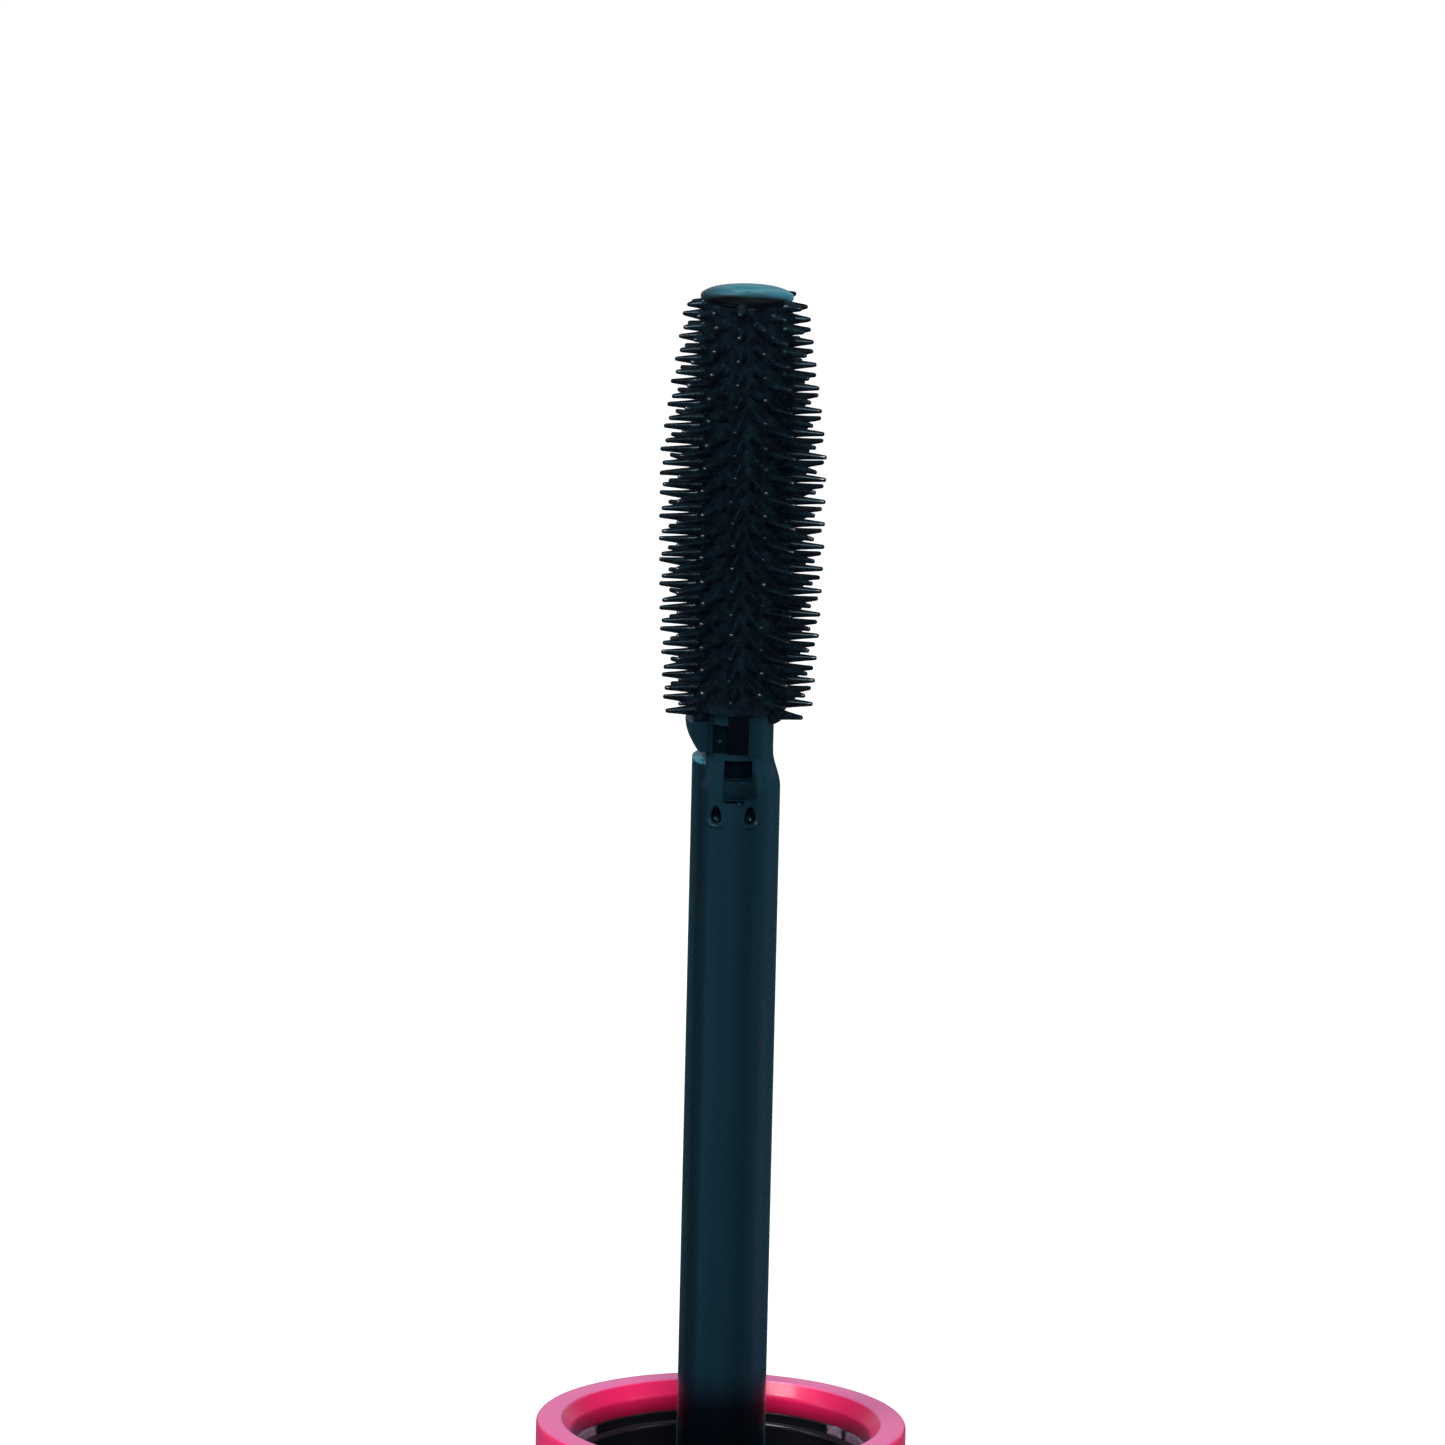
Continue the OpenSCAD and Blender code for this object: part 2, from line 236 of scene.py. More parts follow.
def angle_from(a, centre):
    """Degrees from centre, in degrees, to the angle a, in radians, from -180 to 180."""
    return turn_between(centre, math.degrees(a))


def rounded(corners, steps=6, loop=False):
    """An outline through corners (r, z) or (r, z, fillet), with an arc at each corner that has a fillet."""
    points = []
    count = len(corners)
    for i, corner in enumerate(corners):
        here = Vector(corner[:2])
        fillet = corner[2] if len(corner) > 2 else 0
        ends = not loop and i in (0, count - 1)
        if fillet == 0 or ends:
            points.append(here)
            continue
        before = (Vector(corners[i - 1][:2]) - here).normalized()
        after = (Vector(corners[(i + 1) % count][:2]) - here).normalized()
        half = before.angle(after) / 2
        reach = fillet / math.tan(half)
        centre = here + (before + after).normalized() * fillet / math.sin(half)
        first = here + before * reach - centre
        last = here + after * reach - centre
        swing = first.angle_signed(last)
        for k in range(steps + 1):
            a = -swing * k / steps
            turn = Matrix(((math.cos(a), -math.sin(a)), (math.sin(a), math.cos(a))))
            points.append(centre + turn @ first)
    return points


def divided(points, step, loop=False):
    """The outline with every straight stretch cut into pieces no longer than step."""
    out = []
    pairs = zip(points, points[1:] + points[:1]) if loop else zip(points, points[1:])
    for p, q in pairs:
        n = max(1, math.ceil((q - p).length / step))
        out += [p.lerp(q, k / n) for k in range(n)]
    return out if loop else out + [points[-1]]


def finished(name, mesh, sharp=35.0):
    """A smooth-shaded object from a mesh, with edges sharper than the angle kept crisp."""
    build = bmesh.new()
    build.from_mesh(mesh)
    bmesh.ops.recalc_face_normals(build, faces=build.faces)
    build.to_mesh(mesh)
    build.free()
    mesh.shade_smooth()
    mesh.set_sharp_from_angle(angle=math.radians(sharp))
    obj = bpy.data.objects.new(name, mesh)
    bpy.context.scene.collection.objects.link(obj)
    return obj


def lathe(name, outline, x=0.0, shape=None, loop=False, segments=SEGMENTS):
    """Turns an outline of (r, z) points round a vertical axis at x. shape(r, z, angle) may move a point."""
    verts, rings, faces = [], [], []
    for p in outline:
        if p.x < 1e-6:
            rings.append([len(verts)] * segments)
            verts.append((x * MM, 0, p.y * MM))
            continue
        rings.append(list(range(len(verts), len(verts) + segments)))
        for s in range(segments):
            a = 2 * math.pi * s / segments
            r, z = shape(p.x, p.y, a) if shape else (p.x, p.y)
            verts.append(((x + r * math.cos(a)) * MM, r * math.sin(a) * MM, z * MM))
    pairs = zip(rings, rings[1:] + rings[:1]) if loop else zip(rings, rings[1:])
    for low, high in pairs:
        for s in range(segments):
            t = (s + 1) % segments
            face = list(dict.fromkeys((low[s], low[t], high[t], high[s])))
            if len(face) > 2:
                faces.append(face)
    mesh = bpy.data.meshes.new(name)
    mesh.from_pydata(verts, [], faces)
    return finished(name, mesh)


def box_mesh(name, low, high, bevel=0.0):
    """A box between two corners, with its edges rounded by bevel."""
    build = bmesh.new()
    bmesh.ops.create_cube(build, size=1)
    low, high = Vector(low), Vector(high)
    for vert in build.verts:
        vert.co = Vector(
            (low[i] + high[i]) / 2 + vert.co[i] * (high[i] - low[i]) for i in range(3)
        ) * MM
    if bevel:
        bmesh.ops.bevel(build, geom=build.edges, offset=bevel * MM, segments=3, profile=0.5, affect="EDGES")
    mesh = bpy.data.meshes.new(name)
    build.to_mesh(mesh)
    build.free()
    return mesh


def cut(obj, low, high, bevel=0.0):
    """Cuts a box out of a closed piece."""
    cutter = bpy.data.objects.new("cutter", box_mesh("cutter", low, high, bevel))
    bpy.context.scene.collection.objects.link(cutter)
    tool = obj.modifiers.new("cut", "BOOLEAN")
    tool.object = cutter
    tool.operation = "DIFFERENCE"
    tool.solver = "EXACT"
    with bpy.context.temp_override(object=obj, active_object=obj):
        bpy.ops.object.modifier_apply(modifier="cut")
    bpy.data.objects.remove(cutter)
    obj.data.set_sharp_from_angle(angle=math.radians(35))


def joined(obj, *others):
    """Joins other pieces into obj."""
    with bpy.context.temp_override(active_object=obj, selected_editable_objects=[obj, *others]):
        bpy.ops.object.join()
    return obj


def pip(name, place):
    """A small round moulding mark."""
    build = bmesh.new()
    bmesh.ops.create_uvsphere(build, u_segments=24, v_segments=16, radius=PIP_R * MM)
    for vert in build.verts:
        vert.co += Vector(place) * MM
    mesh = bpy.data.meshes.new(name)
    build.to_mesh(mesh)
    build.free()
    return finished(name, mesh)


def thread_height(z, a, start):
    """Height of the screw ridge at (z, a), from 0 to 1, where start is the z of the thread's lower end."""
    best = 0.0
    for turn in range(math.ceil(THREAD_TURNS) + 1):
        along = turn + a / (2 * math.pi)
        if along > THREAD_TURNS:
            continue
        off = abs(z - start - along * THREAD_PITCH)
        flank = 1 - smooth_step(THREAD_CREST_W / 2, THREAD_BASE_W / 2, off)
        fade = smooth_step(0, THREAD_FADE, along) * smooth_step(0, THREAD_FADE, THREAD_TURNS - along)
        best = max(best, flank * fade)
    return best


def dressed(obj, body, node, material):
    """Puts a piece in place of its CAD node, on that node's body, with its finish."""
    obj.data.materials.append(material)
    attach(obj, body)
    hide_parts(node)
    return obj


# ---------------------------------------------------------------- materials


class Finish:
    """A Principled material with shortcuts for textures in millimetres."""

    def __init__(self, name, base, roughness, **inputs):
        self.material = bpy.data.materials.new(name)
        self.material.use_nodes = True
        self.nodes = self.material.node_tree.nodes
        self.links = self.material.node_tree.links
        self.shader = self.nodes["Principled BSDF"]
        self.shader.inputs["Base Color"].default_value = (*base, 1)
        self.shader.inputs["Roughness"].default_value = roughness
        for key, value in inputs.items():
            socket = self.shader.inputs[key.replace("_", " ")]
            socket.default_value = (*value, 1) if isinstance(value, tuple) else value
        self.place = self.nodes.new("ShaderNodeTexCoord").outputs["Object"]

    def link(self, source, target):
        self.links.new(source, target)

    def stretched(self, x=1.0, y=1.0, z=1.0):
        """Object coordinates scaled along each axis."""
        mapping = self.nodes.new("ShaderNodeMapping")
        mapping.inputs["Scale"].default_value = (x, y, z)
        self.link(self.place, mapping.inputs["Vector"])
        return mapping.outputs["Vector"]

    def noise(self, size, detail=3.0, vector=None, rough=0.5):
        """Noise whose blotches are about size millimetres."""
        node = self.nodes.new("ShaderNodeTexNoise")
        node.inputs["Scale"].default_value = 1 / (size * MM)
        node.inputs["Detail"].default_value = detail
        node.inputs["Roughness"].default_value = rough
        self.link(vector or self.place, node.inputs["Vector"])
        return node.outputs["Fac"]

    def ramp(self, source, low, high, start=0.3, end=0.7):
        """source spread over start to end, as numbers from low to high."""
        node = self.nodes.new("ShaderNodeMapRange")
        for key, value in (("From Min", start), ("From Max", end), ("To Min", low), ("To Max", high)):
            node.inputs[key].default_value = value
        self.link(source, node.inputs["Value"])
        return node.outputs["Result"]

    def blend(self, factor, first, second):
        """A colour between first and second, which are colours or sockets."""
        node = self.nodes.new("ShaderNodeMix")
        node.data_type = "RGBA"
        for socket, value in ((node.inputs["A"], first), (node.inputs["B"], second)):
            if isinstance(value, bpy.types.NodeSocket):
                self.link(value, socket)
            else:
                socket.default_value = (*value, 1)
        self.link(factor, node.inputs["Factor"])
        return node.outputs["Result"]

    def bump(self, height, distance, strength=1.0, after=None):
        """A bump of that depth in millimetres, on top of an earlier one."""
        node = self.nodes.new("ShaderNodeBump")
        node.inputs["Distance"].default_value = distance * MM
        node.inputs["Strength"].default_value = strength
        self.link(height, node.inputs["Height"])
        if after:
            self.link(after, node.inputs["Normal"])
        return node.outputs["Normal"]

    def maths(self, operation, first, second):
        """The result of a Math node on two sockets or numbers."""
        node = self.nodes.new("ShaderNodeMath")
        node.operation = operation
        for socket, value in zip(node.inputs, (first, second)):
            if isinstance(value, bpy.types.NodeSocket):
                self.link(value, socket)
            else:
                socket.default_value = value
        return node.outputs["Value"]

    def axis(self, letter):
        """One object coordinate, in metres."""
        node = self.nodes.new("ShaderNodeSeparateXYZ")
        self.link(self.place, node.inputs["Vector"])
        return node.outputs[letter]

    def within(self, *limits):
        """1 where every (axis, from, to) is past its to, and 0 where any is short of its from.

        from and to are in millimetres. The axis is X, Y or Z, or R for the distance from the Z axis.
        """
        share = None
        for letter, start, end in limits:
            if letter == "R":
                value = self.maths("POWER", self.maths("ADD", self.squared("X"), self.squared("Y")), 0.5)
            else:
                value = self.axis(letter)
            level = self.ramp(value, 0, 1, start * MM, end * MM)
            share = self.maths("MULTIPLY", share, level) if share else level
        return share

    def squared(self, letter):
        """The square of one object coordinate."""
        value = self.axis(letter)
        return self.maths("MULTIPLY", value, value)

    def around(self, stops):
        """A level that follows the angle round Z, with stops of (degrees from -Y towards +X, level)."""
        forward = self.maths("MULTIPLY", self.axis("Y"), -1.0)
        turn = self.maths("ARCTAN2", self.axis("X"), forward)
        node = self.nodes.new("ShaderNodeValToRGB")
        node.color_ramp.interpolation = "EASE"
        elements = node.color_ramp.elements
        for element, (degrees, level) in zip(elements, (stops[0], stops[-1])):
            element.position = (degrees + 180) / 360
            element.color = (level, level, level, 1)
        for degrees, level in stops[1:-1]:
            elements.new((degrees + 180) / 360).color = (level, level, level, 1)
        self.link(self.ramp(turn, 0, 1, -math.pi, math.pi), node.inputs["Fac"])
        return node.outputs["Color"]

    def use(self, **sources):
        """Feeds sockets of the shader, named with _ for each space."""
        for key, source in sources.items():
            self.link(source, self.shader.inputs[key.replace("_", " ")])
        return self.material


def pearl_pink():
    """Satin pink plastic with a fine pearl and a clear gloss, with a painted sheen that makes the cap's lip
    pale and painted shade that darkens its bore towards the closure.
    """
    look = Finish(
        "pearl_pink", (0.88, 0.010, 0.125), 0.38,
        Coat_Weight=0.35, Coat_Roughness=0.14, Sheen_Weight=0.12, Sheen_Roughness=0.45,
        Sheen_Tint=(0.6, 0.5, 1.0), Specular_IOR_Level=0.4, Subsurface_Weight=0.04, Subsurface_Scale=0.0015,
    )
    flow = look.noise(9.0, 2.0, look.stretched(z=0.35))
    pearl = look.noise(0.05, 2.0)
    # Painted shade: inside the bore the pink is darkened towards the closure, down to near black.
    bore = look.within(("R", CLOSURE_R + 0.2, CLOSURE_R + 0.05), ("Z", CAP_H - LIP_BEVEL_H, LUG_TOP - 0.15))
    # Painted sheen: the flat top of the cap's lip is painted a pale violet pink.
    lip = look.within(("Z", CAP_H - 0.1, CAP_H - 0.02), ("R", CAP_R + 1, CAP_R + 0.5))
    skin = look.blend(look.ramp(flow, 0, 1), (0.90, 0.007, 0.115), (0.96, 0.012, 0.145))
    skin = look.blend(lip, skin, (1.0, 0.17, 0.45))
    return look.use(
        Base_Color=look.blend(bore, skin, (0.12, 0, 0.005)),
        Roughness=look.ramp(pearl, 0.33, 0.44),
        Normal=look.bump(pearl, 0.0015, 0.35, look.bump(flow, 0.02, 0.4)),
    )


def black_moulding():
    """Gloss black polypropylene with a faint flow pattern and fine scuffs, and painted highlights on the tops
    of the lugs and stops.
    """
    black = (0.006, 0.007, 0.011)
    look = Finish("black_moulding", black, 0.22, Specular_IOR_Level=0.45)
    flow = look.noise(2.5, 3.0, look.stretched(z=0.3))
    scuff = look.noise(0.25, 4.0, look.stretched(z=4.0))
    stops = []
    for centre, width in LUGS:
        middle = turn_between(-90, centre)
        half = width / 2
        stops += [(middle - half - 0.2, 0), (middle - half + 0.6, 1)]
        stops += [(middle + half - 0.6, 1), (middle + half + 0.2, 0)]
    # Painted highlight: the tops of the lugs and stops by the outer rim are painted a pale grey violet,
    # blotched by noise.
    at_rims = look.within(
        ("R", GROOVE_R, GROOVE_R + 0.04), ("R", CLOSURE_R, CLOSURE_R - 0.06),
        ("Z", CLOSURE_TOP - 0.15, CLOSURE_TOP),
    )
    painted_lug_highlight = look.maths("MULTIPLY", at_rims, look.around([(-180, 0), *sorted(stops), (180, 0)]))
    painted_lug_highlight = look.maths("MULTIPLY", painted_lug_highlight, look.ramp(look.noise(0.4, 3.0), 0.6, 1.0))
    return look.use(
        Base_Color=look.blend(painted_lug_highlight, black, (0.25, 0.18, 0.27)),
        Roughness=look.ramp(scuff, 0.16, 0.3),
        Normal=look.bump(flow, 0.02, 0.5, look.bump(scuff, 0.002, 0.4)),
    )


# Painted light and shade round the teal mouldings: degrees from the front towards +X, and how light the teal
# is painted there
PAINTED_LIGHT_BANDS = (
    (-180, 0.45), (-90, 0.7), (-66, 0.55), (-53, 0.27), (-43, 0.31), (-33, 0.52), (-10, 0.47), (20, 0.32),
    (35, 0.45), (55, 0.85), (75, 1.0), (110, 0.8), (180, 0.45),
)
# Teal of the painted glow, and the dark teal that the painted shade goes down to
PAINTED_GLOW_TEAL = (0.06, 0.31, 0.40)
PAINTED_SHADE_TEAL = (0.0003, 0.0003, 0.0012)

# Regions, as Finish.within takes them. The ledge at the rod's mouth and most of the tip are painted lighter
# teal as a painted glow
PAINTED_GLOW_LEDGE = (("Z", MOUTH_Z - 0.14, MOUTH_Z - 0.05), ("X", -1.5, -1.8))
PAINTED_GLOW_TIP = (("Z", TIP_Z - 0.45, TIP_Z - 0.3), ("Y", -1.1, -0.1), ("X", -2.2, -0.7))
# The rod's foot by the cap, the crimp marks and pad, the tip's front, the shank and the pocket are darkened
# as painted shade
ROD_FOOT_SHADE = (("Z", CAP_H + 3.1, CAP_H + 1.2),)
MARKS_SHADE = (
    ("R", ROD_R - 0.01, ROD_R - 0.1),
    ("Z", MOUTH_Z - 3.4, MOUTH_Z - 3.2), ("Z", MOUTH_Z - 1.5, MOUTH_Z - 1.75),
)
PAD_SHADE = (
    ("X", PAD_X[0] - 0.1, PAD_X[0]), ("X", PAD_X[1] + 0.1, PAD_X[1]), ("Y", -1.5, -1.8),
    ("Z", PAD_Z[0] - 0.1, PAD_Z[0] + 0.1), ("Z", MOUTH_Z, MOUTH_Z - 0.5),
)
TIP_FRONT_SHADE = (("Z", TIP_Z - 0.45, TIP_Z - 0.4), ("Y", -0.3, -1.2))
SHANK_SHADE = (("Z", ROD_TOP + 0.05, ROD_TOP - 0.05),)
POCKET_SHADE = (
    ("X", POCKET_X[0] - 0.06, POCKET_X[0] - 0.01), ("X", POCKET_X[1] + 0.06, POCKET_X[1] + 0.01),
    ("Y", -NECK_R + 0.43, -NECK_R + 0.47), ("Y", 0, -0.2), ("Z", POCKET_LOW - 0.05, POCKET_LOW),
)


def teal_plastic(name, light, gloss, shine, painted_glow, painted_shade):
    """Deep teal plastic with painted light and shade round the moulding, and random streaks in its tone.

    painted_glow is the region painted lighter as a painted glow, and painted_shade has a (share of the colour
    that is taken away, region) for each region darkened as painted shade.
    """
    look = Finish(
        name, light, gloss, Specular_IOR_Level=shine, Specular_Tint=(0.25, 0.8, 1.0),
        Sheen_Weight=0.2, Sheen_Roughness=0.2, Sheen_Tint=(0.08, 0.6, 0.65),
    )
    streaks = look.noise(1.1, 2.0, look.stretched(z=0.04))
    skin = look.noise(0.18, 3.0, look.stretched(z=0.5))
    # Painted light and shade: the bands round the moulding, times random streaks, darkened further in each
    # painted shade region
    depth = look.maths("MULTIPLY", look.around(PAINTED_LIGHT_BANDS), look.ramp(streaks, 0.86, 1.0))
    for loss, limits in painted_shade:
        depth = look.maths("MULTIPLY", depth, look.ramp(look.within(*limits), 1, 1 - loss, 0, 1))
    # Painted glow: lighter teal in the painted glow region, blotched by noise
    cloud = look.noise(0.5, 2.0, look.stretched(x=0.4))
    painted_glow_share = look.maths("MULTIPLY", look.ramp(cloud, 0.55, 1.0), look.within(*painted_glow))
    return look.use(
        Base_Color=look.blend(painted_glow_share, look.blend(depth, PAINTED_SHADE_TEAL, light), PAINTED_GLOW_TEAL),
        Roughness=look.ramp(skin, gloss - 0.03, gloss + 0.04),
        Normal=look.bump(streaks, 0.02, 0.5),
    )


def bristle_elastomer():
    """Glossy black elastomer with a slight bloom, a wet shine on the bristles' ends, and painted shade on the
    gate in the core's pocket.
    """
    look = Finish(
        "bristle_elastomer", (0.0015, 0.003, 0.005), 0.24, Specular_IOR_Level=0.3,
        Specular_Tint=(0.55, 0.85, 1.0), Coat_IOR=2.2, Coat_Roughness=0.06,
    )
    wet = look.nodes.new("ShaderNodeAttribute")
    wet.attribute_name = "bristle_end"
    bloom = look.noise(0.8, 6.0, rough=0.8)
    skin = look.blend(look.ramp(bloom, 0, 1, 0.38, 0.62), (0.0022, 0.0014, 0.0048), (0.003, 0.0125, 0.02))
    # Painted shade: the gate in the core's pocket and the sleeve's foot just above it are painted darker at
    # the front
    gate = look.within(
        ("Z", BRUSH_LOW + NOTCH_H, BRUSH_LOW + NOTCH_H - 0.2), ("Y", -0.5, -1.0),
        ("X", GATE_X[0] - 0.1, GATE_X[0]), ("X", GATE_X[1] + 0.1, GATE_X[1]),
    )
    return look.use(
        Base_Color=look.blend(gate, skin, (0.0008, 0.0008, 0.0035)),
        Coat_Weight=wet.outputs["Fac"],
        Roughness=look.ramp(bloom, 0.18, 0.32),
        Normal=look.bump(look.noise(0.06, 2.0), 0.003, 0.4),
    )


def wiper_plastic():
    """Soft satin polyethylene."""
    look = Finish("wiper_plastic", (0.02, 0.021, 0.024), 0.42)
    skin = look.noise(0.2, 3.0)
    return look.use(Roughness=look.ramp(skin, 0.36, 0.5), Normal=look.bump(skin, 0.004, 0.4))


def mascara_paste():
    """Wet black paste with a lumpy skin."""
    look = Finish("mascara_paste", (0.003, 0.003, 0.0035), 0.12, Coat_Weight=0.5, Coat_Roughness=0.05)
    lumps = look.noise(1.2, 4.0)
    return look.use(Roughness=look.ramp(lumps, 0.08, 0.25), Normal=look.bump(lumps, 0.15, 0.7))


PINK = pearl_pink()
BLACK = black_moulding()
# The rod and the core are given a painted glow and painted shade in the regions above
ROD_TEAL = teal_plastic(
    "rod_teal", (0.0105, 0.045, 0.071), 0.26, 0.2, PAINTED_GLOW_LEDGE,
    ((0.88, ROD_FOOT_SHADE), (0.9, MARKS_SHADE), (0.5, PAD_SHADE)),
)
CORE_TEAL = teal_plastic(
    "core_teal", (0.012, 0.046, 0.071), 0.2, 0.06, PAINTED_GLOW_TIP,
    ((0.95, TIP_FRONT_SHADE), (0.8, SHANK_SHADE), (0.8, POCKET_SHADE)),
)
ELASTOMER = bristle_elastomer()
WIPER_PE = wiper_plastic()
PASTE = mascara_paste()


# ---------------------------------------------------------------- applicator


def make_overcap():
    """Outer shell of the cap, with softly rounded edges."""
    outline = rounded([
        (0, 0), (CAP_R, 0, 0.45), (CAP_R, CAP_H, EDGE_R), (CAP_R - LIP_W, CAP_H, 0.05),
        (CLOSURE_R, CAP_H - LIP_BEVEL_H, 0.4), (CLOSURE_R, CAP_END_T, 0.5), (0, CAP_END_T),
    ])
    obj = lathe("cap_shell", divided(outline, 4.0))
    dressed(obj, "applicator", "overcap", PINK)


def closure_shape(r, z, a):
    """Raises the lugs, whose inner faces slope, and cuts the thread into the bore's wall."""
    lug_foot = 0.1
    if z > CLOSURE_TOP - GROOVE_H - 0.01 and GROOVE_R < r < CLOSURE_R - 0.01:
        for centre, width in LUGS:
            off = abs(angle_from(a, centre)) / (width / 2)
            if off < 1:
                slope = smooth_step(GROOVE_R - 0.05, GROOVE_R + 0.2, r)
                return r, CLOSURE_TOP - lug_foot + (OUTER_RISE + lug_foot - LUG_CROWN * off**2) * slope
    if abs(r - MOUTH_R) < 0.01 and z < CLOSURE_TOP - 1:
        start = CLOSURE_TOP - THREAD_START - THREAD_PITCH * THREAD_TURNS
        return r - CAP_THREAD_H * thread_height(z, a, start), z
    return r, z


def make_closure():
    """Inner closure: two rims with a groove and lugs between them, the threaded bore, web and rod socket."""
    groove_z = CLOSURE_TOP - GROOVE_H
    outline = rounded([
        (ROD_R, ROD_FOOT), (ROD_R + SOCKET_T, ROD_FOOT, 0.2), (ROD_R + SOCKET_T, SEAT_Z - WEB_T, 0.2),
        (CLOSURE_R - SKIRT_T, SEAT_Z - WEB_T), (CLOSURE_R - SKIRT_T, CLOSURE_LOW), (CLOSURE_R, CLOSURE_LOW),
        (CLOSURE_R, LUG_TOP, 0.05), (CLOSURE_R - OUTER_RIDGE_T, LUG_TOP, 0.03),
        (CLOSURE_R - OUTER_RIDGE_T, groove_z, 0.02), (GROOVE_R + 0.02, groove_z, 0.02),
        (GROOVE_R, CLOSURE_TOP, 0.05), (MOUTH_R, CLOSURE_TOP, 0.26),
        (MOUTH_R, SEAT_Z, 0.2), (ROD_R, SEAT_Z),
    ], loop=True)
    fine = divided(outline, 0.08, loop=True)
    obj = lathe("inner_closure", fine, shape=closure_shape, loop=True, segments=240)
    dressed(obj, "applicator", "closure", BLACK)


def rod_mouth_point(t, a):
    """Point t (0 to 1) of the mouth's outline at angle a: a soft shoulder, but a square ledge towards -X."""
    mouth_h = SHOULDER_LOW + SHOULDER_TOP
    soft_r = NECK_R + (ROD_R - NECK_R) * (1 + math.cos(math.pi * t)) / 2
    soft_z = MOUTH_Z - SHOULDER_LOW + mouth_h * t
    up = min(1.0, t * 2)
    across = max(0.0, t * 2 - 1)
    ledge_r = ROD_R + (NECK_R - ROD_R) * across
    ledge_z = MOUTH_Z - SHOULDER_LOW + SHOULDER_LOW * up
    share = 1 - smooth_step(LEDGE_HALF_ANGLE - 4, LEDGE_HALF_ANGLE + 4, abs(angle_from(a, 180)))
    return soft_r + (ledge_r - soft_r) * share, soft_z + (ledge_z - soft_z) * share


def dimple(r, z, a):
    """How far the crimp marks press the rod's wall in, which is less than 0 on the lip that each raises."""
    for centre in DIMPLE_ANGLES:
        across = math.radians(angle_from(a, 270 + centre)) * r / DIMPLE_W
        along = (z - MOUTH_Z + DIMPLE_DROP) / DIMPLE_H
        # The marks narrow towards their upper end
        across *= 1 + 0.35 * along
        out = math.hypot(across, along)
        if out < 1:
            return DIMPLE_DEPTH * math.sqrt(1 - out**2)
        if out < 1.6:
            return -DIMPLE_LIP * max(0.0, -along / out) * math.sin(math.pi * (out - 1) / 0.6)
    return 0.0


def make_rod():
    """Hollow rod with its sealing flange, shouldered mouth, window, pad, fine line and two crimp marks."""
    shoulder_steps = 20
    low_z = MOUTH_Z - SHOULDER_LOW
    marks_low = MOUTH_Z - DIMPLE_DROP - 2 * DIMPLE_H
    # A radius of this much plus t stands for point t of the mouth's outline
    marker = 100.0

    def shape(r, z, a):
        if r >= marker:
            return rod_mouth_point(r - marker, a)
        if abs(r - ROD_R) < 1e-4 and marks_low < z < low_z:
            return r - dimple(r, z, a), z
        return r, z

    foot = rounded([
        (0, ROD_FOOT), (ROD_R, ROD_FOOT), (ROD_R, SEAT_Z), (FLANGE_R, SEAT_Z, 0.1),
        (FLANGE_R, SEAT_Z + FLANGE_T, 0.2), (SEAL_R, SEAT_Z + FLANGE_T, 0.1),
        (ROD_R, SEAT_Z + FLANGE_T + SEAL_H), (ROD_R, marks_low - 0.2),
    ])
    marks = divided([Vector((ROD_R, marks_low - 0.2)), Vector((ROD_R, low_z))], 0.03)[1:-1]
    mouth = [Vector((marker + k / shoulder_steps, low_z)) for k in range(shoulder_steps + 1)]
    bore = [Vector(p) for p in ((ROD_BORE_R, ROD_TOP), (ROD_BORE_R, ROD_FOOT + 2), (0, ROD_FOOT + 2))]
    obj = lathe("rod_tube", divided(foot, 2.0) + marks + mouth + bore, shape=shape, segments=288)
    cut(obj, (WINDOW_X[0], -ROD_R - 1, WINDOW_Z[0]), (WINDOW_X[1], -1, WINDOW_Z[1]))
    cut(obj, (PAD_X[0], -ROD_R - 1, PAD_Z[0]), (PAD_X[1], PAD_DEPTH - ROD_R, PAD_Z[1]))
    cut(obj, (LINE_X[0], -ROD_R - 1, LINE_Z[0]), (LINE_X[1], LINE_DEPTH - ROD_R, LINE_Z[1]), 0.04)
    joined(obj, pip("rod_pip", (0.2, -ROD_R + 0.06, MOUTH_Z - 1.97)))
    dressed(obj, "applicator", "rod", ROD_TEAL)


def notch(a):
    """1 across the front, where the sleeve's lower edge is raised, and 0 elsewhere."""
    return 1 - smooth_step(NOTCH_HALF_ANGLE - 5, NOTCH_HALF_ANGLE + 5, abs(angle_from(a, 270)))


def notch_fade(z):
    """1 at the sleeve's lower edge, and 0 where the notch no longer lifts anything."""
    return 1 - smooth_step(BRUSH_LOW, BRUSH_LOW + NOTCH_FADE, z)


